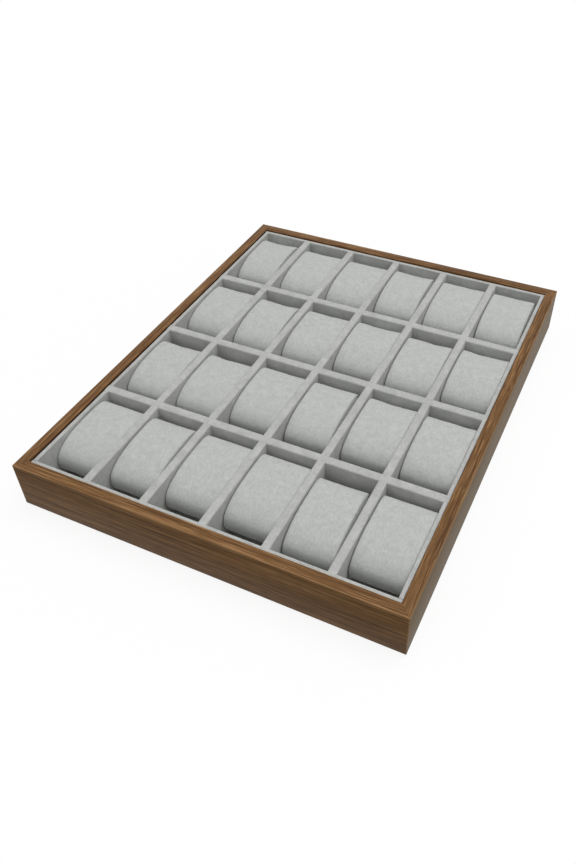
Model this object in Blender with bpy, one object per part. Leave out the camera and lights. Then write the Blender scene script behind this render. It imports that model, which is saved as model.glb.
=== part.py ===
# Watch display tray: a mitred, veneered frame round a suede-covered insert, whose crossing
# dividers make a grid of compartments with a loose watch pillow in each.
# Metres, +Z up. X runs along a row of pillows, Y runs from the front row to the back row.
# The origin lies on the surface that the tray stands on, under the tray's centre.

import math

import bmesh
import bpy

# Overall size
TRAY_WIDTH = 0.350
TRAY_DEPTH = 0.438
TRAY_HEIGHT = 0.048

# Clearance between pieces that touch or are glued to each other
TOUCH_GAP = 0.0003

# Frame
RAIL_THICKNESS = 0.010
REBATE_DEPTH = 0.005        # how far the base panel is let into each rail
ARRIS_RADIUS = 0.0006       # rounding of the rails' long edges and of the frame's corners
ARRIS_STEPS = 3

# Base
FELT_THICKNESS = 0.001
FELT_INSET = 0.002          # from the rails' outer faces
BASE_THICKNESS = 0.003
LINING_THICKNESS = 0.0008

# Insert
COLUMNS = 6
ROWS = 4
INSERT_DROP = 0.0017        # from the rails' tops down to the insert's top
LINER_THICKNESS = 0.0036
ROW_DIVIDER_THICKNESS = 0.0084
COLUMN_DIVIDER_THICKNESS = 0.0075
END_ROW_EXTRA = 0.003       # the front and back rows are this much deeper than the others
COVER_RADIUS = 0.0012       # the covering's fold over a board's top edges
COVER_STEPS = 2

# Pillows
PILLOW_DROP = 0.0014        # from the insert's top down to a pillow's top
PILLOW_CROWN = 0.0008       # how far the middle of a pillow stands above its ends
PILLOW_SIDE_GAP = 0.0006    # to the divider or liner on each side
PILLOW_BACK_GAP = 0.0025    # to the divider or liner behind
STRAP_SPACE = 0.0185        # in front of each pillow
PILLOW_BULGE = 0.016        # length of a pillow's rounded front or back
BULGE_POWER = 2.2           # 2 is an ellipse, more is squarer
BULGE_STEPS = 7
SEAM_RADIUS = 0.0016         # rounding of the seams round a pillow's flat sides
SEAM_STEPS = 2

# Heights
RAIL_BOTTOM = FELT_THICKNESS + TOUCH_GAP
BASE_TOP = RAIL_BOTTOM + BASE_THICKNESS
REBATE_TOP = BASE_TOP + TOUCH_GAP
LINING_TOP = REBATE_TOP + LINING_THICKNESS
INSERT_BOTTOM = LINING_TOP + TOUCH_GAP
INSERT_TOP = TRAY_HEIGHT - INSERT_DROP
LAP_HEIGHT = (INSERT_BOTTOM + INSERT_TOP) / 2
PILLOW_HEIGHT = INSERT_TOP - PILLOW_DROP - INSERT_BOTTOM

# Plan sizes, from the rails inwards
REBATE_START = RAIL_THICKNESS - REBATE_DEPTH
OPENING_WIDTH = TRAY_WIDTH - 2 * RAIL_THICKNESS
OPENING_DEPTH = TRAY_DEPTH - 2 * RAIL_THICKNESS
INSERT_WIDTH = OPENING_WIDTH - 2 * (TOUCH_GAP + LINER_THICKNESS)
INSERT_DEPTH = OPENING_DEPTH - 2 * (TOUCH_GAP + LINER_THICKNESS)
CELL_WIDTH = (INSERT_WIDTH - (COLUMNS - 1) * COLUMN_DIVIDER_THICKNESS) / COLUMNS
CELL_DEPTH = (INSERT_DEPTH - (ROWS - 1) * ROW_DIVIDER_THICKNESS - 2 * END_ROW_EXTRA) / ROWS
PILLOW_WIDTH = CELL_WIDTH - 2 * PILLOW_SIDE_GAP

# Finishes: name, linear colour, roughness
WALNUT_VENEER = ("walnut_veneer", (0.150, 0.080, 0.042), 0.45)
BASE_BOARD = ("base_board", (0.330, 0.220, 0.130), 0.75)
BLACK_FELT = ("black_felt", (0.030, 0.030, 0.032), 0.95)
INSERT_SUEDE = ("insert_suede", (0.500, 0.490, 0.465), 0.92)
PILLOW_SUEDE = ("pillow_suede", (0.520, 0.530, 0.520), 0.92)


def clear_scene():
    for old in list(bpy.data.objects):
        bpy.data.objects.remove(old, do_unlink=True)


def get_material(finish):
    name, colour, roughness = finish
    material = bpy.data.materials.get(name)
    if material is None:
        material = bpy.data.materials.new(name)
        material.use_nodes = True
        shader = material.node_tree.nodes["Principled BSDF"]
        shader.inputs["Base Color"].default_value = (*colour, 1.0)
        shader.inputs["Roughness"].default_value = roughness
        shader.inputs["Metallic"].default_value = 0.0
    return material


def make_mesh(name, bm, finish, smooth_angle=30):
    bmesh.ops.recalc_face_normals(bm, faces=bm.faces)
    mesh = bpy.data.meshes.new(name)
    bm.to_mesh(mesh)
    bm.free()
    mesh.shade_smooth()
    mesh.set_sharp_from_angle(angle=math.radians(smooth_angle))
    mesh.materials.append(get_material(finish))
    return mesh


def add_piece(name, mesh, location=(0.0, 0.0, 0.0), turn=0):
    piece = bpy.data.objects.new(name, mesh)
    piece.location = location
    piece.rotation_euler = (0.0, 0.0, math.radians(turn))
    bpy.context.scene.collection.objects.link(piece)
    return piece


def arc(centre, radius, start, end, steps):
    """Points on an arc from the start angle to the end angle, in degrees."""
    angles = [math.radians(start + (end - start) * step / steps) for step in range(steps + 1)]
    return [(centre[0] + radius * math.cos(a), centre[1] + radius * math.sin(a)) for a in angles]


def sweep(bm, rings):
    """Close a body through rings of points, with a flat face on the first and the last."""
    loops = [[bm.verts.new(point) for point in ring] for ring in rings]
    bm.faces.new(loops[0])
    bm.faces.new(loops[-1])
    for loop, following in zip(loops, loops[1:]):
        for index in range(len(loop)):
            bm.faces.new((loop[index - 1], loop[index], following[index], following[index - 1]))


def make_slab(name, width, depth, bottom, thickness, finish):
    """A flat sheet or panel, centred on the tray."""
    bm = bmesh.new()
    bmesh.ops.create_cube(bm, size=1.0)
    bmesh.ops.scale(bm, vec=(width, depth, thickness), verts=bm.verts)
    bmesh.ops.translate(bm, vec=(0.0, 0.0, bottom + thickness / 2), verts=bm.verts)
    add_piece(name, make_mesh(name, bm, finish))


def rail_section():
    """Outline across a rail: distance in from its outer face, and height."""
    near, far = ARRIS_RADIUS, RAIL_THICKNESS - ARRIS_RADIUS
    low, high = RAIL_BOTTOM + ARRIS_RADIUS, TRAY_HEIGHT - ARRIS_RADIUS
    outline = [(RAIL_THICKNESS, REBATE_TOP), (REBATE_START, REBATE_TOP), (REBATE_START, RAIL_BOTTOM)]
    outline += arc((near, low), ARRIS_RADIUS, 270, 180, ARRIS_STEPS)
    outline += arc((near, high), ARRIS_RADIUS, 180, 90, ARRIS_STEPS)
    outline += arc((far, high), ARRIS_RADIUS, 90, 0, ARRIS_STEPS)
    return outline


def make_rail(name, length, location, turn):
    """A rail along X with its outer face on Y = 0, mitred at both ends.

    Each end takes its half of the frame's rounded corner, as a fan of rings round the corner's
    centre. Points further in than the corner's radius all lie on the mitre.
    """
    mitre = length / 2 - TOUCH_GAP / math.sqrt(2)
    fan = [math.radians(45 * step / ARRIS_STEPS) for step in range(ARRIS_STEPS + 1)]

    def ring(side, angle):
        points = []
        for inward, height in rail_section():
            reach = max(ARRIS_RADIUS - inward, 0.0)
            from_centre = max(inward - ARRIS_RADIUS, 0.0)
            along = mitre - ARRIS_RADIUS - from_centre + reach * math.sin(angle)
            across = ARRIS_RADIUS + from_centre - reach * math.cos(angle)
            points.append((side * along, across, height))
        return points

    bm = bmesh.new()
    sweep(bm, [ring(-1, angle) for angle in reversed(fan)] + [ring(1, angle) for angle in fan])
    bmesh.ops.remove_doubles(bm, verts=bm.verts, dist=TOUCH_GAP / 100)
    add_piece(name, make_mesh(name, bm, WALNUT_VENEER), location, turn)


def make_frame():
    make_rail("frame_front_rail", TRAY_WIDTH, (0.0, -TRAY_DEPTH / 2, 0.0), 0)
    make_rail("frame_right_rail", TRAY_DEPTH, (TRAY_WIDTH / 2, 0.0, 0.0), 90)
    make_rail("frame_back_rail", TRAY_WIDTH, (0.0, TRAY_DEPTH / 2, 0.0), 180)
    make_rail("frame_left_rail", TRAY_DEPTH, (-TRAY_WIDTH / 2, 0.0, 0.0), 270)


def make_base():
    felt_width = TRAY_WIDTH - 2 * FELT_INSET
    felt_depth = TRAY_DEPTH - 2 * FELT_INSET
    panel_inset = REBATE_START + TOUCH_GAP
    panel_width = TRAY_WIDTH - 2 * panel_inset
    panel_depth = TRAY_DEPTH - 2 * panel_inset
    lining_width = OPENING_WIDTH - 2 * TOUCH_GAP
    lining_depth = OPENING_DEPTH - 2 * TOUCH_GAP
    make_slab("underside_felt", felt_width, felt_depth, 0.0, FELT_THICKNESS, BLACK_FELT)
    make_slab("base_panel", panel_width, panel_depth, RAIL_BOTTOM, BASE_THICKNESS, BASE_BOARD)
    make_slab("floor_lining", lining_width, lining_depth, REBATE_TOP, LINING_THICKNESS, INSERT_SUEDE)


def row_places():
    """Y of each row divider's middle."""
    first = -INSERT_DEPTH / 2 + END_ROW_EXTRA + CELL_DEPTH + ROW_DIVIDER_THICKNESS / 2
    return [first + row * (CELL_DEPTH + ROW_DIVIDER_THICKNESS) for row in range(ROWS - 1)]


def column_places():
    """X of each column divider's middle."""
    first = -INSERT_WIDTH / 2 + CELL_WIDTH + COLUMN_DIVIDER_THICKNESS / 2
    return [first + column * (CELL_WIDTH + COLUMN_DIVIDER_THICKNESS) for column in range(COLUMNS - 1)]


def slotted_edge(half_length, height, places, crossing_thickness, slot_end):
    """A board's long edge from -X to +X, with a slot for each board that crosses it."""
    half_slot = crossing_thickness / 2 + TOUCH_GAP
    edge = [(-half_length, height)]
    for place in places:
        edge.append((place - half_slot, height))
        edge.append((place - half_slot, slot_end))
        edge.append((place + half_slot, slot_end))
        edge.append((place + half_slot, height))
    edge.append((half_length, height))
    return edge


def make_board(name, outline, thickness, location, turn):
    """A covered board cut to an outline of length and height, its top edges softly folded."""
    bm = bmesh.new()
    face = bm.faces.new([bm.verts.new((along, -thickness / 2, height)) for along, height in outline])
    grown = bmesh.ops.extrude_face_region(bm, geom=[face], use_keep_orig=True)
    moved = [item for item in grown["geom"] if isinstance(item, bmesh.types.BMVert)]
    bmesh.ops.translate(bm, vec=(0.0, thickness, 0.0), verts=moved)
    bmesh.ops.recalc_face_normals(bm, faces=bm.faces)
    top = max(height for along, height in outline)
    folds = []
    for edge in bm.edges:
        ends = [vert.co for vert in edge.verts]
        runs_along = abs(ends[0].x - ends[1].x) > TOUCH_GAP
        if runs_along and min(end.z for end in ends) > top - TOUCH_GAP:
            folds.append(edge)
    bmesh.ops.bevel(
        bm, geom=folds, offset=COVER_RADIUS, affect="EDGES", segments=COVER_STEPS, profile=0.5, material=-1
    )
    add_piece(name, make_mesh(name, bm, INSERT_SUEDE), location, turn)


def make_liners():
    """Front and back liners run the frame's whole width, and the side liners stand between them."""
    long_half = OPENING_WIDTH / 2 - TOUCH_GAP
    short_half = INSERT_DEPTH / 2 - TOUCH_GAP
    plain = [(-long_half, INSERT_BOTTOM), (long_half, INSERT_BOTTOM)]
    plain += [(long_half, INSERT_TOP), (-long_half, INSERT_TOP)]
    slot_end = LAP_HEIGHT - TOUCH_GAP / 2
    notched = [(-short_half, INSERT_BOTTOM), (short_half, INSERT_BOTTOM)]
    notched += reversed(slotted_edge(short_half, INSERT_TOP, row_places(), ROW_DIVIDER_THICKNESS, slot_end))
    to_side = (INSERT_WIDTH + LINER_THICKNESS) / 2
    to_end = (INSERT_DEPTH + LINER_THICKNESS) / 2
    make_board("liner_front", plain, LINER_THICKNESS, (0.0, -to_end, 0.0), 0)
    make_board("liner_back", plain, LINER_THICKNESS, (0.0, to_end, 0.0), 0)
    make_board("liner_left", notched, LINER_THICKNESS, (-to_side, 0.0, 0.0), 90)
    make_board("liner_right", notched, LINER_THICKNESS, (to_side, 0.0, 0.0), 90)


def make_row_dividers():
    """Slotted from below over the column dividers, with ends that lap over the side liners."""
    slot_end = LAP_HEIGHT + TOUCH_GAP / 2
    foot_half = INSERT_WIDTH / 2 - TOUCH_GAP
    head_half = OPENING_WIDTH / 2 - TOUCH_GAP
    outline = slotted_edge(foot_half, INSERT_BOTTOM, column_places(), COLUMN_DIVIDER_THICKNESS, slot_end)
    outline += [(foot_half, slot_end), (head_half, slot_end), (head_half, INSERT_TOP)]
    outline += [(-head_half, INSERT_TOP), (-head_half, slot_end), (-foot_half, slot_end)]
    for number, place in enumerate(row_places(), start=1):
        make_board(f"row_divider_{number}", outline, ROW_DIVIDER_THICKNESS, (0.0, place, 0.0), 0)


def make_column_dividers():
    """Slotted from above under the row dividers, and butted between the front and back liners."""
    slot_end = LAP_HEIGHT - TOUCH_GAP / 2
    half = INSERT_DEPTH / 2 - TOUCH_GAP
    outline = [(-half, INSERT_BOTTOM), (half, INSERT_BOTTOM)]
    outline += reversed(slotted_edge(half, INSERT_TOP, row_places(), ROW_DIVIDER_THICKNESS, slot_end))
    for number, place in enumerate(column_places(), start=1):
        make_board(f"column_divider_{number}", outline, COLUMN_DIVIDER_THICKNESS, (place, 0.0, 0.0), 90)


def pillow_section(length, crown):
    """Outline of a pillow along the tray's depth: flat on top and below, bulging at both ends."""
    flat_half = length / 2 - PILLOW_BULGE
    half_height = (PILLOW_HEIGHT - PILLOW_CROWN) / 2
    quarter = []
    for step in range(BULGE_STEPS + 1):
        angle = math.radians(90 * step / BULGE_STEPS)
        along = flat_half + PILLOW_BULGE * math.cos(angle) ** (2 / BULGE_POWER)
        above = half_height * math.sin(angle) ** (2 / BULGE_POWER)
        quarter.append((along, above))
    upper = [(along, above + crown * above / half_height) for along, above in quarter]
    lower = [(along, -above) for along, above in reversed(quarter[1:])]
    back_end = lower + upper
    front_end = [(-along, above) for along, above in reversed(back_end)]
    return [(along, above + half_height) for along, above in back_end + front_end]


def make_pillow_mesh(length):
    """One pillow on the floor, its middle on the origin: two bands that meet at the crowned middle."""
    bm = bmesh.new()
    side = PILLOW_WIDTH / 2
    rings = []
    for across, crown in ((-side, 0.0), (0.0, PILLOW_CROWN), (side, 0.0)):
        rings.append([(across, along, above) for along, above in pillow_section(length, crown)])
    sweep(bm, rings)
    bmesh.ops.recalc_face_normals(bm, faces=bm.faces)
    seams = [edge for edge in bm.edges if all(abs(vert.co.x) > side / 2 for vert in edge.verts)]
    bmesh.ops.bevel(
        bm, geom=seams, offset=SEAM_RADIUS, affect="EDGES", segments=SEAM_STEPS, profile=0.5, material=-1
    )
    return make_mesh("pillow", bm, PILLOW_SUEDE)


def make_pillows():
    """One in each compartment, as long as the row leaves room for behind the strap space."""
    first_x = -(INSERT_WIDTH - CELL_WIDTH) / 2
    half_divider = ROW_DIVIDER_THICKNESS / 2
    fronts = [-INSERT_DEPTH / 2] + [place + half_divider for place in row_places()]
    backs = [place - half_divider for place in row_places()] + [INSERT_DEPTH / 2]
    for row, (front, back) in enumerate(zip(fronts, backs), start=1):
        pillow_front = front + STRAP_SPACE
        pillow_back = back - PILLOW_BACK_GAP
        mesh = make_pillow_mesh(pillow_back - pillow_front)
        y = (pillow_front + pillow_back) / 2
        for column in range(COLUMNS):
            x = first_x + column * (CELL_WIDTH + COLUMN_DIVIDER_THICKNESS)
            add_piece(f"pillow_r{row}_c{column + 1}", mesh, (x, y, INSERT_BOTTOM))


clear_scene()
make_frame()
make_base()
make_liners()
make_row_dividers()
make_column_dividers()
make_pillows()
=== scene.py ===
# Watch display tray: veneered frame, suede-covered dividers and padded pillows.
# Metres, +Z up, in the model's own frame. Colours are sRGB hex values.
import math
import random

import bmesh
import bpy
from mathutils import Matrix, Vector, noise


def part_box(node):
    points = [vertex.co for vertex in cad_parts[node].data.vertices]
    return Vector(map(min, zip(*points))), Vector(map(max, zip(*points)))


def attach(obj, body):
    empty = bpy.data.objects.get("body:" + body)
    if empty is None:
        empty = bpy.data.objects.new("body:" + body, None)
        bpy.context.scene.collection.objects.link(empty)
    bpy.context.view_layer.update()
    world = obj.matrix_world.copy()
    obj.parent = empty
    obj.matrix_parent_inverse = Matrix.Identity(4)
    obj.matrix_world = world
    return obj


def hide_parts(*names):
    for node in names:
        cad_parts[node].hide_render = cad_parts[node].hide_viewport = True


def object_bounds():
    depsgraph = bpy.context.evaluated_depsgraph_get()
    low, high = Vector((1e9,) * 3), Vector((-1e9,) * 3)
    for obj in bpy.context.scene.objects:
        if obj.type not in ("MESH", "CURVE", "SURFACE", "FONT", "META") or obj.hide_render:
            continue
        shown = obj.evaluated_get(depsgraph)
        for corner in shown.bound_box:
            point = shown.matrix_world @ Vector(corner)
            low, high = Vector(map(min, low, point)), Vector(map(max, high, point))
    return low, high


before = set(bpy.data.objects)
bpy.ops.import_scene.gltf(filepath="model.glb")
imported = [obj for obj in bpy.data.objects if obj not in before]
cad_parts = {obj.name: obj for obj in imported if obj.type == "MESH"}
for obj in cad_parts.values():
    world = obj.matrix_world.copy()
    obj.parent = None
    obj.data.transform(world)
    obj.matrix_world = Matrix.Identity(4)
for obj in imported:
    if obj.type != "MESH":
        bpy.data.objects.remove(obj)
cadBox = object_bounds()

scene = bpy.context.scene
trayLow, trayHigh = cadBox
rows, columns = 4, 6
touching = 0.00001      # places closer than this count as the same

# Camera, at the photograph's viewing angle
camera = {
    "place": (0.25423, -0.51580, 0.51460),
    "turn": (47.213, 0.895, 25.401),    # degrees
    "lens": 32.84,
    "sensor": 36,       # width; the lens and the sensor are in millimetres
    "shift": (-0.0347, -0.0150),
    "clip": (0.01, 50),
}


def makeCamera():
    data = bpy.data.cameras.new("viewCamera")
    data.lens = camera["lens"]
    data.sensor_width = camera["sensor"]
    data.shift_x, data.shift_y = camera["shift"]
    data.clip_start, data.clip_end = camera["clip"]
    view = bpy.data.objects.new("viewCamera", data)
    view.location = camera["place"]
    view.rotation_euler = [math.radians(turn) for turn in camera["turn"]]
    scene.collection.objects.link(view)
    scene.camera = view


# Nodes and colours
def toLinear(hexColour):
    values = [int(hexColour[at:at + 2], 16) / 255 for at in (0, 2, 4)]
    return [v / 12.92 if v <= 0.04045 else ((v + 0.055) / 1.055) ** 2.4 for v in values] + [1.0]


def addNode(tree, kind, inputs=None, stops=(), **settings):
    # inputs take a value or another node's output; stops are a colour ramp's places and colours
    node = tree.nodes.new("ShaderNode" + kind)
    for name, value in settings.items():
        setattr(node, name, value)
    for name, value in (inputs or {}).items():
        if isinstance(value, bpy.types.NodeSocket):
            tree.links.new(value, node.inputs[name])
        else:
            node.inputs[name].default_value = value
    for index, (place, colour) in enumerate(stops):
        marks = node.color_ramp.elements
        mark = marks[index] if index < 2 else marks.new(place)
        mark.position, mark.color = place, colour
    return node


def newMaterial(name):
    material = bpy.data.materials.new(name)
    material.use_nodes = True
    tree = material.node_tree
    return material, tree, tree.nodes["Principled BSDF"], addNode(tree, "TexCoord").outputs["Object"]


# Frame rails
rail = {
    "thickness": 0.010,
    "rebate": 0.005,        # how far the base panel is let in
    "arris": 0.0006,
    "arrisSteps": 3,
    "glueLine": 0.00003,
    "smooth": 35,
    # outward direction, grain's turn and offset, how much lighter the leaf is, how strongly a painted reflection
    # greys the outer face, and how dark the painted shade on the inner wall is
    "sides": {
        "Front": ((0, -1), 0, (0.31, 0.0, 0.0), 0.015, 0, 0.2),
        "Right": ((1, 0), -90, (0.83, 0.11, 0.05), -0.035, 0.75, 0.9),
        "Back": ((0, 1), 0, (1.42, 0.0, 0.02), -0.025, 0, 0.2),
        "Left": ((-1, 0), -90, (2.05, 0.07, 0.03), -0.01, 0, 0.9),
    },
}

# Walnut veneer, sliced straight along each rail, stained and lacquered satin: fine dark and tan
# streaks, open pores, and a paler line on the outer arrises, partly sanded through the stain, partly painted
# highlight
veneer = {
    "face": ("4b341e", "664828", "82603c"),     # dark, middle and light wood of the rails' sides
    "top": ("573c25", "715133", "916d49"),      # and of their top edges, a leaf with more figure
    "places": (0.38, 0.50, 0.61),               # of those three colours along the tone
    "fleck": "b38c60",
    "sandedAndHighlight": "b18c64",
    "pore": "3a2617",
    "lacquer": "fff0d8",        # it has yellowed a little
    "paintedShade": "2c1710",          # painted shade: the inner wall, darkened where it stands in shade above the liners
    "paintedReflection": "634f2e",           # painted reflection: the right rail's outer face is greyed, standing in for pale surroundings mirrored at a grazing angle
    "band": (0.260, 0.0055, 1.0),       # length and width of a broad band in metres, and the noise's detail
    "streak": (0.110, 0.0017, 2.0),
    "line": (0.030, 0.0007, 2.0),
    "poreSize": (0.014, 0.0006, 0.0),   # drawn coarser than real pores, so that they show
    "shares": (0.24, 0.47, 0.29),       # of bands, streaks and lines in the tone
    "wander": 0.0030,           # how far the grain strays from straight
    "wanderScale": 7.0,
    "wanderDetail": 1.0,
    "fleckFrom": (0.56, 0.66),  # the line's tone at which a fleck starts and is full
    "fleckMost": 0.5,
    "fleckOnFace": 0.25,        # the faces show this share of the top edges' flecks
    "poreFrom": (0.60, 0.70),
    "poreMost": 0.45,
    "topEdge": (0.0006, 0.0002),    # depths at which the top edge's leaf starts and is full
    "outerFace": (0.0007, 0.0003),
    "innerWall": (0.0005, 0.0002),
    "arris": (0.0013, 0.0004),      # distances at which the paler arris line, partly sanded and partly painted highlight, starts and is full
    "sandedAndHighlightMost": 0.7,
    "roughness": (0.56, 0.44),
    "relief": (0.25, 0.0002),       # bump's strength and height
    "ior": 1.5,
    "specular": 0.10,
}


def mixColour(tree, mask, under, colour):
    return addNode(tree, "Mix", {0: mask.outputs[0], 6: under.outputs[2], 7: toLinear(veneer[colour])},
                   data_type="RGBA")


def makeVeneer(name, turn, offset, tone, paintedReflection, paintedShade):
    material, tree, shader, place = newMaterial(name)
    grain = addNode(tree, "Mapping", {"Vector": place, "Rotation": (0, 0, math.radians(turn)), "Location": offset})
    drift = addNode(tree, "TexNoise", {"Vector": grain.outputs[0], "Scale": veneer["wanderScale"],
                                       "Detail": veneer["wanderDetail"]})
    centred = addNode(tree, "VectorMath", {0: drift.outputs["Color"], 1: (0.5, 0.5, 0.5)}, operation="SUBTRACT")
    across = addNode(tree, "VectorMath", {0: centred.outputs[0], 1: (0, 1, 1)}, operation="MULTIPLY")
    wander = addNode(tree, "VectorMath", {0: across.outputs[0], "Scale": veneer["wander"]}, operation="SCALE")
    figure = addNode(tree, "VectorMath", {0: grain.outputs[0], 1: wander.outputs[0]}, operation="ADD").outputs[0]

    tones = []
    for size in ("band", "streak", "line", "poreSize"):
        length, width, detail = veneer[size]
        scaled = addNode(tree, "VectorMath", {0: figure, 1: (1 / length, 1 / width, 1 / width)}, operation="MULTIPLY")
        grainNoise = addNode(tree, "TexNoise", {"Vector": scaled.outputs[0], "Scale": 1.0, "Detail": detail})
        tones.append(grainNoise.outputs["Fac"])
    bandShare, streakShare, lineShare = veneer["shares"]
    broad = addNode(tree, "Math", {0: tones[0], 1: bandShare}, operation="MULTIPLY")
    middle = addNode(tree, "Math", {0: tones[1], 1: streakShare, 2: broad.outputs[0]}, operation="MULTIPLY_ADD")
    total = addNode(tree, "Math", {0: tones[2], 1: lineShare, 2: middle.outputs[0]}, operation="MULTIPLY_ADD")
    total = addNode(tree, "Math", {0: total.outputs[0], 1: tone}, operation="ADD")
    parts = addNode(tree, "SeparateXYZ", {0: place})
    below = addNode(tree, "Math", {0: trayHigh.z, 1: parts.outputs[2]}, operation="SUBTRACT")
    start, full = veneer["topEdge"]
    topEdge = addNode(tree, "MapRange", {"Value": below.outputs[0], "From Min": start, "From Max": full})
    leaves = []
    for leaf in ("face", "top"):
        dark, middle, light = zip(veneer["places"], [toLinear(colour) for colour in veneer[leaf]])
        leaves.append(addNode(tree, "ValToRGB", {"Fac": total.outputs[0]}, (dark, light, middle)).outputs[0])
    leafed = addNode(tree, "Mix", {0: topEdge.outputs[0], 6: leaves[0], 7: leaves[1]}, data_type="RGBA")
    start, full = veneer["fleckFrom"]
    fleckMask = addNode(tree, "MapRange", {"Value": tones[2], "From Min": start, "From Max": full,
                                           "To Max": veneer["fleckMost"]})
    onFace = veneer["fleckOnFace"]
    onTop = addNode(tree, "Math", {0: topEdge.outputs[0], 1: 1 - onFace, 2: onFace}, operation="MULTIPLY_ADD")
    flecks = addNode(tree, "Math", {0: fleckMask.outputs[0], 1: onTop.outputs[0]}, operation="MULTIPLY")
    wood = mixColour(tree, flecks, leafed, "fleck")
    start, full = veneer["poreFrom"]
    poreMask = addNode(tree, "MapRange", {"Value": tones[3], "From Min": start, "From Max": full})
    poreShare = addNode(tree, "Math", {0: poreMask.outputs[0], 1: veneer["poreMost"]}, operation="MULTIPLY")
    wood = mixColour(tree, poreShare, wood, "pore")

    # distance inside the outer faces and below the top
    insides = []
    for axis, reach in ((0, trayHigh.x), (1, trayHigh.y)):
        size = addNode(tree, "Math", {0: parts.outputs[axis]}, operation="ABSOLUTE")
        insides.append(addNode(tree, "Math", {0: reach, 1: size.outputs[0]}, operation="SUBTRACT").outputs[0])
    inward = addNode(tree, "Math", {0: insides[0], 1: insides[1]}, operation="MINIMUM")
    # painted reflection: the outer face is mixed towards a greyer colour, by each side's share
    start, full = veneer["outerFace"]
    outerFace = addNode(tree, "MapRange", {"Value": insides[0], "From Min": start, "From Max": full, "To Max": paintedReflection})
    wood = mixColour(tree, outerFace, wood, "paintedReflection")
    # painted shade: a dark strip down the inner wall below the top edge, by each side's share
    start, full = [rail["thickness"] - depth for depth in veneer["innerWall"]]
    innerWall = addNode(tree, "MapRange", {"Value": inward.outputs[0], "From Min": start, "From Max": full,
                                           "To Max": paintedShade})
    paintedShadeMask = addNode(tree, "Math", {0: innerWall.outputs[0], 1: topEdge.outputs[0]}, operation="SUBTRACT",
                      use_clamp=True)
    wood = mixColour(tree, paintedShadeMask, wood, "paintedShade")

    # distance from the nearest outer arris, measured round it, for the paler line there: partly sanded wear, partly
    # painted highlight
    topArris = addNode(tree, "Math", {0: inward.outputs[0], 1: below.outputs[0]}, operation="ADD")
    cornerArris = addNode(tree, "Math", {0: insides[0], 1: insides[1]}, operation="ADD")
    nearest = addNode(tree, "Math", {0: topArris.outputs[0], 1: cornerArris.outputs[0]}, operation="MINIMUM")
    start, full = veneer["arris"]
    edge = addNode(tree, "MapRange", {"Value": nearest.outputs[0], "From Min": start, "From Max": full,
                                      "To Max": veneer["sandedAndHighlightMost"]})
    uneven = addNode(tree, "Math", {0: edge.outputs[0], 1: tones[1]}, operation="MULTIPLY")
    wood = mixColour(tree, uneven, wood, "sandedAndHighlight")
    tree.links.new(wood.outputs[2], shader.inputs["Base Color"])

    inDark, inLight = veneer["roughness"]
    gloss = addNode(tree, "MapRange", {"Value": total.outputs[0], "To Min": inDark, "To Max": inLight})
    tree.links.new(gloss.outputs[0], shader.inputs["Roughness"])
    relief = addNode(tree, "Math", {0: tones[2], 1: poreShare.outputs[0]}, operation="SUBTRACT")
    strength, height = veneer["relief"]
    bump = addNode(tree, "Bump", {"Height": relief.outputs[0], "Strength": strength, "Distance": height})
    tree.links.new(bump.outputs[0], shader.inputs["Normal"])
    shader.inputs["IOR"].default_value = veneer["ior"]
    shader.inputs["Specular IOR Level"].default_value = veneer["specular"]
    shader.inputs["Specular Tint"].default_value = toLinear(veneer["lacquer"])
    return material


# Microfibre suede, knitted polyester with a sanded nap: matt, slightly cloudy where the nap lies
# one way or the other, paler at a grazing angle
suede = {
    "tones": (0.36, 0.64),          # places of the dark and the light colour
    "cloudDetail": 3.0,
    "cloudRoughness": 0.6,
    "napDetail": 2.0,
    "brush": (1.0, 0.45, 1.0),      # the nap is brushed from front to back
    "roughness": 0.95,
    "ior": 1.5,
    "specular": 0.25,
    "sheen": 0.18,
    "sheenRoughness": 0.45,
}


def makeSuede(name, colour, clouds, nap):
    material, tree, shader, place = newMaterial(name)
    cloudy = addNode(tree, "TexNoise", {"Vector": place, "Scale": 1 / clouds["width"],
                                        "Detail": suede["cloudDetail"], "Roughness": suede["cloudRoughness"]})
    brushed = addNode(tree, "VectorMath", {0: place, 1: suede["brush"]}, operation="MULTIPLY")
    speckle = addNode(tree, "TexNoise", {"Vector": brushed.outputs[0], "Scale": 1 / nap["width"],
                                         "Detail": suede["napDetail"]})
    share = addNode(tree, "Math", {0: speckle.outputs["Fac"], 1: nap["share"]}, operation="MULTIPLY")
    mixed = addNode(tree, "Math", {0: cloudy.outputs["Fac"], 1: 1 - nap["share"], 2: share.outputs[0]},
                    operation="MULTIPLY_ADD")
    stops = list(zip(suede["tones"], (toLinear(colour["dark"]), toLinear(colour["light"]))))
    tone = addNode(tree, "ValToRGB", {"Fac": mixed.outputs[0]}, stops)
    tree.links.new(tone.outputs[0], shader.inputs["Base Color"])
    relief = addNode(tree, "Math", {0: cloudy.outputs["Fac"], 1: clouds["relief"], 2: share.outputs[0]},
                     operation="MULTIPLY_ADD")
    bump = addNode(tree, "Bump", {"Height": relief.outputs[0], "Strength": nap["strength"],
                                  "Distance": nap["height"]})
    tree.links.new(bump.outputs[0], shader.inputs["Normal"])
    shader.inputs["Roughness"].default_value = suede["roughness"]
    shader.inputs["IOR"].default_value = suede["ior"]
    shader.inputs["Specular IOR Level"].default_value = suede["specular"]
    shader.inputs["Sheen Weight"].default_value = suede["sheen"]
    shader.inputs["Sheen Roughness"].default_value = suede["sheenRoughness"]
    return material


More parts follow.
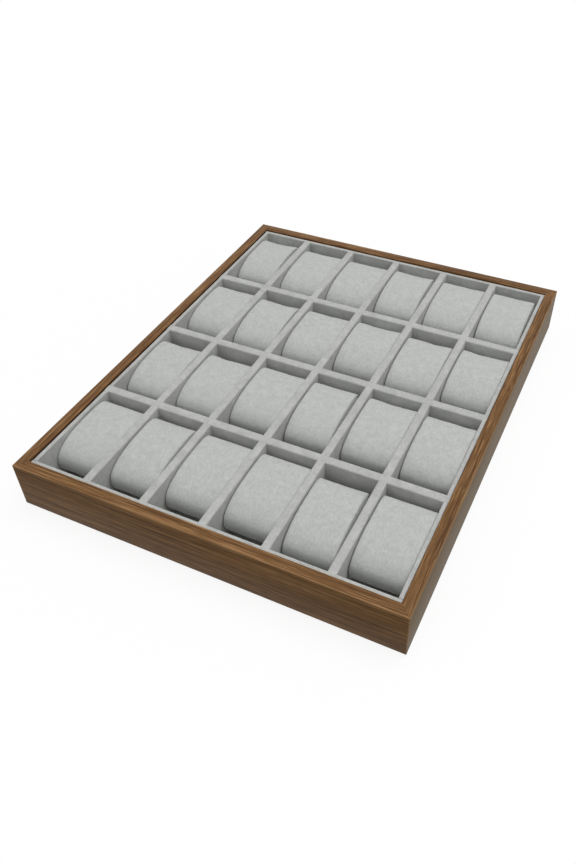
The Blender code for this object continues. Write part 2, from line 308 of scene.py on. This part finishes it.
insertSuede = {
    "colour": {"dark": "a9aaa7", "light": "bdbebb"},
    "clouds": {"width": 0.010, "relief": 0.4},
    "nap": {"width": 0.0016, "share": 0.45, "strength": 0.35, "height": 0.0003},
}
pillowSuede = {
    "colour": {"dark": "b0b2b0", "light": "c0c2c0"},
    "clouds": {"width": 0.0065, "relief": 0.5},
    "nap": {"width": 0.0015, "share": 0.58, "strength": 0.30, "height": 0.0003},
}

# Pressed wool felt, dyed black: short matted fibres, no shine
felt = {
    "dark": "141415",
    "light": "2b2b2d",
    "tones": (0.35, 0.70),
    "fibre": 0.0008,        # drawn coarser than real fibres, so that they show
    "detail": 4.0,
    "tangle": 0.8,
    "relief": (0.5, 0.0004),
    "roughness": 0.95,
    "specular": 0.2,
    "sheen": 0.15,
}


def makeFelt(name):
    material, tree, shader, place = newMaterial(name)
    fibres = addNode(tree, "TexNoise", {"Vector": place, "Scale": 1 / felt["fibre"], "Detail": felt["detail"],
                                        "Distortion": felt["tangle"]})
    stops = list(zip(felt["tones"], (toLinear(felt["dark"]), toLinear(felt["light"]))))
    tone = addNode(tree, "ValToRGB", {"Fac": fibres.outputs["Fac"]}, stops)
    tree.links.new(tone.outputs[0], shader.inputs["Base Color"])
    strength, height = felt["relief"]
    bump = addNode(tree, "Bump", {"Height": fibres.outputs["Fac"], "Strength": strength, "Distance": height})
    tree.links.new(bump.outputs[0], shader.inputs["Normal"])
    shader.inputs["Roughness"].default_value = felt["roughness"]
    shader.inputs["Specular IOR Level"].default_value = felt["specular"]
    shader.inputs["Sheen Weight"].default_value = felt["sheen"]
    return material


# Medium-density fibreboard, pressed and left raw: tan, with short paler and darker fibres
fibreboard = {
    "dark": "8a6a45",
    "light": "b08c60",
    "tones": (0.35, 0.65),
    "fibre": 0.0012,
    "detail": 4.0,
    "tangle": 0.4,
    "roughness": 0.8,
}


def makeFibreboard(name):
    material, tree, shader, place = newMaterial(name)
    fibres = addNode(tree, "TexNoise", {"Vector": place, "Scale": 1 / fibreboard["fibre"],
                                        "Detail": fibreboard["detail"], "Distortion": fibreboard["tangle"]})
    stops = list(zip(fibreboard["tones"], (toLinear(fibreboard["dark"]), toLinear(fibreboard["light"]))))
    tone = addNode(tree, "ValToRGB", {"Fac": fibres.outputs["Fac"]}, stops)
    tree.links.new(tone.outputs[0], shader.inputs["Base Color"])
    shader.inputs["Roughness"].default_value = fibreboard["roughness"]
    return material


def addPiece(name, mesh, material, slotName, *nodes):
    piece = bpy.data.objects.new(name, mesh)
    scene.collection.objects.link(piece)
    mesh.materials.clear()
    mesh.materials.append(material)
    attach(piece, "root")
    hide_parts(*nodes)
    return piece


def toMesh(name, bm, smoothAngle):     # edges sharper than this angle, in degrees, stay crisp
    mesh = bpy.data.meshes.new(name)
    bm.to_mesh(mesh)
    bm.free()
    mesh.shade_smooth()
    mesh.set_sharp_from_angle(angle=math.radians(smoothAngle))
    return mesh


# One rebated moulding is run round the tray, then parted on its mitres
def makeFrame():
    low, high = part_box("frame_front_rail")
    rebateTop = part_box("floor_lining")[0].z
    corner = Vector((trayHigh.x, trayHigh.y, 0))
    section = [(0, low.z), (0, high.z), (rail["thickness"], high.z), (rail["thickness"], rebateTop),
               (rail["thickness"] - rail["rebate"], rebateTop), (rail["thickness"] - rail["rebate"], low.z)]
    bm = bmesh.new()
    first = bm.faces.new([bm.verts.new((corner.x - inward, corner.y - inward, height)) for inward, height in section])
    ends = [first]
    for flip in ((-1, 1, 1), (1, -1, 1), (-1, 1, 1), (1, -1, 1)):
        grown = bmesh.ops.extrude_face_region(bm, geom=[ends[-1]], use_keep_orig=len(ends) == 1)["geom"]
        verts = [item for item in grown if isinstance(item, bmesh.types.BMVert)]
        bmesh.ops.scale(bm, vec=flip, verts=verts)
        ends.append(next(item for item in grown if isinstance(item, bmesh.types.BMFace)))
    bmesh.ops.delete(bm, geom=[ends[0], ends[-1]], context="FACES_ONLY")
    bmesh.ops.remove_doubles(bm, verts=bm.verts, dist=touching)
    bmesh.ops.recalc_face_normals(bm, faces=bm.faces)

    def onArris(edge):
        points = [vert.co for vert in edge.verts]
        outer = all(abs(abs(p.x) - corner.x) < touching or abs(abs(p.y) - corner.y) < touching for p in points)
        top = all(abs(p.z - high.z) < touching for p in points)
        upright = abs(points[0].z - points[1].z) > touching
        alongRail = not upright and min(
            abs(points[0].x - points[1].x), abs(points[0].y - points[1].y)) < touching
        return (outer and (alongRail or upright)) or (top and alongRail)

    bmesh.ops.bevel(bm, geom=[edge for edge in bm.edges if onArris(edge)], offset=rail["arris"], affect="EDGES",
                    segments=rail["arrisSteps"], profile=0.5, material=-1)

    for side, ((outX, outY), turn, offset, tone, paintedReflection, paintedShade) in rail["sides"].items():
        part = bm.copy()
        for hand in (-1, 1):
            # the two ends of this side, and the mitre's outward direction there
            endX = outX * corner.x + hand * outY * corner.x
            endY = outY * corner.y + hand * outX * corner.y
            along = Vector((hand * outY, hand * outX, 0))
            outward = (along - Vector((outX, outY, 0))).normalized()
            point = Vector((endX, endY, 0)) - outward * rail["glueLine"]
            cut = bmesh.ops.bisect_plane(part, geom=part.verts[:] + part.edges[:] + part.faces[:], dist=1e-7,
                                         plane_co=point, plane_no=outward, clear_outer=True)
            rim = [item for item in cut["geom_cut"] if isinstance(item, bmesh.types.BMEdge)]
            bmesh.ops.holes_fill(part, edges=rim)
        name = "veneeredRail" + side
        material = makeVeneer("walnutVeneer" + side, turn, offset, tone, paintedReflection, paintedShade)
        addPiece(name, toMesh(name, part, rail["smooth"]), material, "walnut_veneer", f"frame_{side.lower()}_rail")
    bm.free()


# Dividers and liners: thin boards with the suede folded over their top edges
board = {
    "fold": 0.0013,
    "linerFold": 0.0008,
    "foldSteps": 4,
    "smooth": 40,
    "slit": 0.00006,    # on each side of a board where another crosses it
    "close": 0.0009,    # a crossed board's top runs on over the rounded edge of the one that crosses it
    "reach": 0.0010,    # and a divider's ends over the rounded edges of the liners
}


def crossedEdge(start, end, height, crossings, slitEnd):
    # a long edge from start to end, stepping in at each crossing board
    edge = [(start, height)]
    for near, far in crossings:
        edge += [(near, height), (near, slitEnd), (far, slitEnd), (far, height)]
    return edge + [(end, height)]


def makeBoard(name, outline, across, axis, fold, material, node):
    # outline is a list of distance along the board and height; across is its two faces' places
    bm = bmesh.new()
    face = bm.faces.new([bm.verts.new((along, across[0], height)) for along, height in outline])
    grown = bmesh.ops.extrude_face_region(bm, geom=[face], use_keep_orig=True)["geom"]
    moved = [item for item in grown if isinstance(item, bmesh.types.BMVert)]
    bmesh.ops.translate(bm, vec=(0, across[1] - across[0], 0), verts=moved)
    top = max(height for along, height in outline)
    folds = [edge for edge in bm.edges if all(abs(vert.co.z - top) < touching for vert in edge.verts)
             and abs(edge.verts[0].co.y - edge.verts[1].co.y) < touching]
    bmesh.ops.bevel(bm, geom=folds, offset=fold, affect="EDGES", segments=board["foldSteps"], profile=0.5,
                    material=-1)
    if axis == "Y":
        bmesh.ops.rotate(bm, verts=bm.verts, matrix=Matrix.Rotation(math.radians(90), 3, "Z"))
    bmesh.ops.recalc_face_normals(bm, faces=bm.faces)
    return addPiece(name, toMesh(name, bm, board["smooth"]), material, "insert_suede", node)


def makeInsert(material):
    rowBoxes = [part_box(f"row_divider_{row}") for row in range(1, rows)]
    columnBoxes = [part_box(f"column_divider_{column}") for column in range(1, columns)]
    slit = board["slit"]
    low, high = columnBoxes[0]
    lap = (low.z + high.z) / 2
    rowGaps = [(near.y + board["close"], far.y - board["close"]) for near, far in rowBoxes]
    columnGaps = [(near.x - slit, far.x + slit) for near, far in columnBoxes]
    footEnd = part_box("liner_right")[0].x - slit
    for number, (near, far) in enumerate(rowBoxes, start=1):
        outline = crossedEdge(-footEnd, footEnd, near.z, columnGaps, lap)
        outline += [(footEnd, lap), (far.x, lap), (far.x, far.z), (near.x, far.z), (near.x, lap), (-footEnd, lap)]
        makeBoard(f"suedeRowDivider{number}", outline, (near.y, far.y), "X", board["fold"], material,
                  f"row_divider_{number}")
    for number, (near, far) in enumerate(columnBoxes, start=1):
        front, back = near.y - board["reach"], far.y + board["reach"]
        outline = [(front, near.z), (back, near.z)] + list(reversed(crossedEdge(front, back, far.z, rowGaps, lap)))
        makeBoard(f"suedeColumnDivider{number}", outline, (-far.x, -near.x), "Y", board["fold"], material,
                  f"column_divider_{number}")
    for side in ("front", "back"):
        near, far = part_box(f"liner_{side}")
        outline = [(near.x, near.z), (far.x, near.z), (far.x, far.z), (near.x, far.z)]
        makeBoard(f"suedeLiner{side.title()}", outline, (near.y, far.y), "X", board["linerFold"], material,
                  f"liner_{side}")
    for side in ("left", "right"):
        near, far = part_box(f"liner_{side}")
        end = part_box("liner_back")[0].y - slit
        outline = [(-end, near.z), (end, near.z)] + list(reversed(crossedEdge(-end, end, far.z, rowGaps, lap)))
        makeBoard(f"suedeLiner{side.title()}", outline, (-far.x, -near.x), "Y", board["linerFold"], material,
                  f"liner_{side}")


# Pillows: a soft core in a sewn cover, a band round it and a flat panel at each side
pillow = {
    "voxel": 0.0030,
    "overshoot": 0.0080,    # each side runs past its panel until the panel is cut
    "frontRound": 0.0165,   # the front turns over in an ellipse this high
    "stretch": 2.1,         # and this many times as long
    "backRound": 0.0105,
    "roundSteps": 8,
    "balance": 0.55,        # share of the length that lies before the crown
    "shrink": 0.0010,       # the blank is smaller than the finished pillow by this much all round
    "unevenness": 0.00015,
    "dents": ((45, 1.0), (120, 0.5)),   # waves a metre, and how strong they are
    "seedReach": 50,        # each pillow takes its dents from another place in the noise
    "pressure": 4.0,
    "pressureRange": (0.8, 1.2),    # some are filled softer than others
    "frames": 20,
    "swell": 0.0014,        # how far the filling may push any point
    "widen": 0.0001,        # the cover swells towards the dividers on each side
    "crownRise": 0.0004,    # the most that the filling may lift the top
    "joinEdges": 0.0009,    # shorter edges in the cut are joined up
    "seamRadius": 0.0014,
    "seamHalf": 0.707,      # where the seam's round is half turned
    "stitchWidth": 0.0006,
    "stitchDepth": 0.0004,
    "shift": (0.00034, 0.00012),    # towards the divider on the right, and by how much that varies
    "standOff": 0.45,       # a narrow pillow moves left by this share of what it lacks
    "yaw": 0.15,            # degrees
    "smooth": 50,
    "blankSmooth": 40,
}
# how the pillows lie: some are narrower and stand off the divider on their right, some are pushed forward,
# in millimetres, and some are turned a little, in degrees
lie = {
    "r1_c1": (0, 0.7, 0), "r1_c2": (3.4, 0.5, 0.3), "r1_c5": (3.0, 5.0, 0.6), "r1_c6": (0, 1.1, 0),
    "r2_c1": (1.6, 5.0, 0.2), "r2_c2": (0, 5.0, -0.3), "r2_c3": (0, 0.8, 0), "r2_c4": (3.6, 0.5, 0.2),
    "r2_c6": (0, 1.7, 0),
    "r3_c1": (0, 1.2, 0), "r3_c2": (2.6, 3.0, 0.2), "r3_c3": (0, 2.5, 0), "r3_c4": (0, -1.0, 0),
    "r3_c5": (1.0, 3.0, 0.1),
    "r4_c1": (4.0, 0.5, 0.3), "r4_c2": (0, 3.0, 0), "r4_c3": (0, 3.5, 0), "r4_c4": (3.4, 0, 0.2),
    "r4_c5": (0, 1.6, 0), "r4_c6": (2.6, 0.7, 0.3),
}


def bakeModifiers(piece):
    graph = bpy.context.evaluated_depsgraph_get()
    mesh = bpy.data.meshes.new_from_object(piece.evaluated_get(graph))
    piece.modifiers.clear()
    piece.data = mesh


def makeBlank(place, low, high):
    size = high - low
    bm = bmesh.new()
    bmesh.ops.create_cube(bm, size=1.0)
    front = low.y + pillow["shrink"]
    crown = low.y + size.y * pillow["balance"]
    back = high.y - pillow["shrink"]
    width, height = size.x + 2 * pillow["overshoot"], size.z - 2 * pillow["shrink"]
    bmesh.ops.scale(bm, vec=(width, 2, height), verts=bm.verts)
    for vert in bm.verts:
        vert.co.y = (front - crown) / pillow["stretch"] if vert.co.y < 0 else back - crown
    for hand, radius in ((-1, pillow["frontRound"]), (1, pillow["backRound"])):
        ends = [edge for edge in bm.edges if abs(edge.verts[0].co.x - edge.verts[1].co.x) > size.x / 2
                and edge.verts[0].co.y * hand > 0]
        bmesh.ops.bevel(bm, geom=ends, offset=radius, affect="EDGES", segments=pillow["roundSteps"], profile=0.5,
                        material=-1)
    for vert in bm.verts:
        vert.co.y = crown + vert.co.y * (pillow["stretch"] if vert.co.y < 0 else 1)
    bmesh.ops.translate(bm, vec=((low.x + high.x) / 2, 0, (low.z + high.z) / 2), verts=bm.verts)
    blank = bpy.data.objects.new("blank_" + place, toMesh("blank_" + place, bm, pillow["blankSmooth"]))
    scene.collection.objects.link(blank)
    grid = blank.modifiers.new("grid", "REMESH")
    grid.mode = "VOXEL"
    grid.voxel_size = pillow["voxel"]
    return blank


def fillBlanks(blanks):
    # the covers are blown up by their filling, all at once, and each point's way is then capped
    starts = {}
    for place, blank in blanks.items():
        bakeModifiers(blank)
        picker = random.Random(place)
        seed = Vector([picker.uniform(-pillow["seedReach"], pillow["seedReach"]) for axis in range(3)])
        for vert in blank.data.vertices:
            dent = sum(noise.noise(vert.co * scale + seed) * strength for scale, strength in pillow["dents"])
            vert.co += vert.normal * dent * pillow["unevenness"]
        starts[place] = [vert.co.copy() for vert in blank.data.vertices]
        cloth = blank.modifiers.new("filling", "CLOTH")
        cloth.settings.use_pressure = True
        cloth.settings.uniform_pressure_force = pillow["pressure"] * picker.uniform(*pillow["pressureRange"])
        cloth.settings.effector_weights.gravity = 0.0
        cloth.point_cache.frame_end = pillow["frames"]
    for step in range(1, pillow["frames"] + 1):
        scene.frame_set(step)
    furthest = 0.0
    for place, blank in blanks.items():
        bakeModifiers(blank)
        for vert, start in zip(blank.data.vertices, starts[place]):
            way = vert.co - start
            furthest = max(furthest, way.length)
            if way.length > pillow["swell"]:
                vert.co = start + way.normalized() * pillow["swell"]
    scene.frame_set(1)
    print("pillows filled, furthest way before the cap", round(furthest * 1000, 2), "mm")


def sewPanels(mesh, name, low, high, place):
    picker = random.Random("lie" + place)
    less, forward, turned = lie.get(place, (0, 0, 0))
    less, forward = less / 1000, forward / 1000
    half = (high.x - low.x - less) / 2 + pillow["widen"]
    centre = (low + high) / 2
    bm = bmesh.new()
    bm.from_mesh(mesh)
    for vert in bm.verts:
        vert.co.z = min(max(vert.co.z, low.z), high.z + pillow["crownRise"])
    radius = pillow["seamRadius"]
    for side in (-1, 1):
        rim = bmesh.ops.bisect_plane(
            bm, geom=bm.verts[:] + bm.edges[:] + bm.faces[:], dist=1e-6, clear_outer=True,
            plane_co=(centre.x + side * (half - radius), 0, 0), plane_no=(side, 0, 0))["geom_cut"]
        # short edges are joined up, so that the insets below stay regular
        cutVerts = [item for item in rim if isinstance(item, bmesh.types.BMVert)]
        bmesh.ops.remove_doubles(bm, verts=cutVerts, dist=pillow["joinEdges"])
        edges = [edge for edge in bm.edges if edge.is_boundary]
        panel = bmesh.ops.holes_fill(bm, edges=edges)["faces"]
        # round the seam's edge, then press the stitched line in just inside it
        far = pillow["seamHalf"] * radius
        steps = ((radius - far, far), (far, radius - far),
                 (pillow["stitchWidth"], -pillow["stitchDepth"]), (pillow["stitchWidth"], pillow["stitchDepth"]))
        for width, depth in steps:
            bmesh.ops.inset_region(bm, faces=panel, thickness=width, depth=depth, use_even_offset=False)
    yaw = math.radians(picker.uniform(-1, 1) * pillow["yaw"] + turned)
    shift = pillow["shift"][0] + picker.uniform(-1, 1) * pillow["shift"][1] - less * pillow["standOff"]
    bmesh.ops.rotate(bm, verts=bm.verts, cent=centre, matrix=Matrix.Rotation(yaw, 3, "Z"))
    bmesh.ops.translate(bm, vec=(shift, -forward, 0), verts=bm.verts)
    bmesh.ops.recalc_face_normals(bm, faces=bm.faces)
    return toMesh(name, bm, pillow["smooth"])


def makePillows(material):
    places = [f"r{row}_c{column}" for row in range(1, rows + 1) for column in range(1, columns + 1)]
    boxes = {place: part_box("pillow_" + place) for place in places}
    blanks = {place: makeBlank(place, *boxes[place]) for place in places}
    fillBlanks(blanks)
    for place, blank in blanks.items():
        finer = blank.modifiers.new("finer", "SUBSURF")
        finer.levels = finer.render_levels = 1
        bakeModifiers(blank)
        name = "watchPillow_" + place
        mesh = sewPanels(blank.data, name, *boxes[place], place)
        bpy.data.objects.remove(blank, do_unlink=True)
        piece = addPiece(name, mesh, material, "pillow_suede", "pillow_" + place)


# Floor, world and lamps
studio = {
    "floorSize": 6.0,
    "floorGap": 0.0003,
    "floorShade": "c4c4c4",
    "floorRoughness": 0.9,
    "floorSpecular": 0.1,
    "floorSmooth": 30,
    "floorWhite": 0.88,     # share of plain white that the camera sees over the floor's own shading
    "fade": (0.30, 0.75),   # distances between which the rest of the shading fades out
    "ambient": 0.38,
    "key": {"place": (0.70, 0.35, 3.20), "size": 2.4, "watts": 76.0},
    "fill": {"place": (-0.90, -1.60, 1.40), "size": 1.6, "watts": 3.5},
}


def seenDirectly(tree):
    # 1 where the camera, a reflection or a view through glass meets the surface
    paths = addNode(tree, "LightPath")
    seen = addNode(tree, "Math", {0: paths.outputs["Is Camera Ray"], 1: paths.outputs["Is Glossy Ray"]},
                   operation="MAXIMUM")
    return addNode(tree, "Math", {0: seen.outputs[0], 1: paths.outputs["Is Transmission Ray"]}, operation="MAXIMUM")


def makeStudio():
    bm = bmesh.new()
    bmesh.ops.create_grid(bm, x_segments=2, y_segments=2, size=studio["floorSize"] / 2)
    bmesh.ops.translate(bm, vec=(0, 0, trayLow.z - studio["floorGap"]), verts=bm.verts)
    floor = bpy.data.objects.new("studioFloor", toMesh("studioFloor", bm, studio["floorSmooth"]))
    scene.collection.objects.link(floor)
    material, tree, shader, place = newMaterial("paintedFloor")
    shader.inputs["Base Color"].default_value = toLinear(studio["floorShade"])
    shader.inputs["Roughness"].default_value = studio["floorRoughness"]
    shader.inputs["Specular IOR Level"].default_value = studio["floorSpecular"]
    seen = seenDirectly(tree)
    distance = addNode(tree, "VectorMath", {0: place}, operation="LENGTH")
    fade = addNode(tree, "MapRange", {"Value": distance.outputs["Value"], "From Min": studio["fade"][0],
                                      "From Max": studio["fade"][1], "To Min": studio["floorWhite"], "To Max": 1.0})
    share = addNode(tree, "Math", {0: seen.outputs[0], 1: fade.outputs[0]}, operation="MULTIPLY")
    white = addNode(tree, "Emission", {"Color": (1, 1, 1, 1), "Strength": 1.0})
    plain = addNode(tree, "BsdfDiffuse", {"Color": (1, 1, 1, 1)})
    own = addNode(tree, "MixShader", {0: seen.outputs[0], 1: shader.outputs[0], 2: plain.outputs[0]})
    both = addNode(tree, "MixShader", {0: share.outputs[0], 1: own.outputs[0], 2: white.outputs[0]})
    tree.links.new(both.outputs[0], tree.nodes["Material Output"].inputs["Surface"])
    floor.data.materials.append(material)

    world = bpy.data.worlds.new("studioWorld")
    scene.world = world
    world.use_nodes = True
    tree = world.node_tree
    seen = seenDirectly(tree)
    light = tree.nodes["Background"]
    light.inputs["Color"].default_value = (1, 1, 1, 1)
    light.inputs["Strength"].default_value = studio["ambient"]
    white = addNode(tree, "Background", {"Color": (1, 1, 1, 1), "Strength": 1.0})
    both = addNode(tree, "MixShader", {0: seen.outputs[0], 1: light.outputs[0], 2: white.outputs[0]})
    tree.links.new(both.outputs[0], tree.nodes["World Output"].inputs["Surface"])

    for name in ("key", "fill"):
        lamp = studio[name]
        data = bpy.data.lights.new(name + "Softbox", "AREA")
        data.shape, data.size, data.energy = "SQUARE", lamp["size"], lamp["watts"]
        softbox = bpy.data.objects.new(name + "Softbox", data)
        softbox.location = lamp["place"]
        softbox.rotation_euler = Vector(lamp["place"]).to_track_quat("Z", "Y").to_euler()
        scene.collection.objects.link(softbox)


makeCamera()
print("camera set")
makeFrame()
print("frame made")
covering = makeSuede("microfibreSuedeInsert", **insertSuede)
makeInsert(covering)
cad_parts["floor_lining"].data.materials[0] = covering
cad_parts["underside_felt"].data.materials[0] = makeFelt("blackWoolFelt")
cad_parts["base_panel"].data.materials[0] = makeFibreboard("rawFibreboard")
print("insert and base made")
makePillows(makeSuede("microfibreSuedePillow", **pillowSuede))
print("pillows made")
makeStudio()
scene.view_settings.view_transform = "Standard"
print("studio lit")
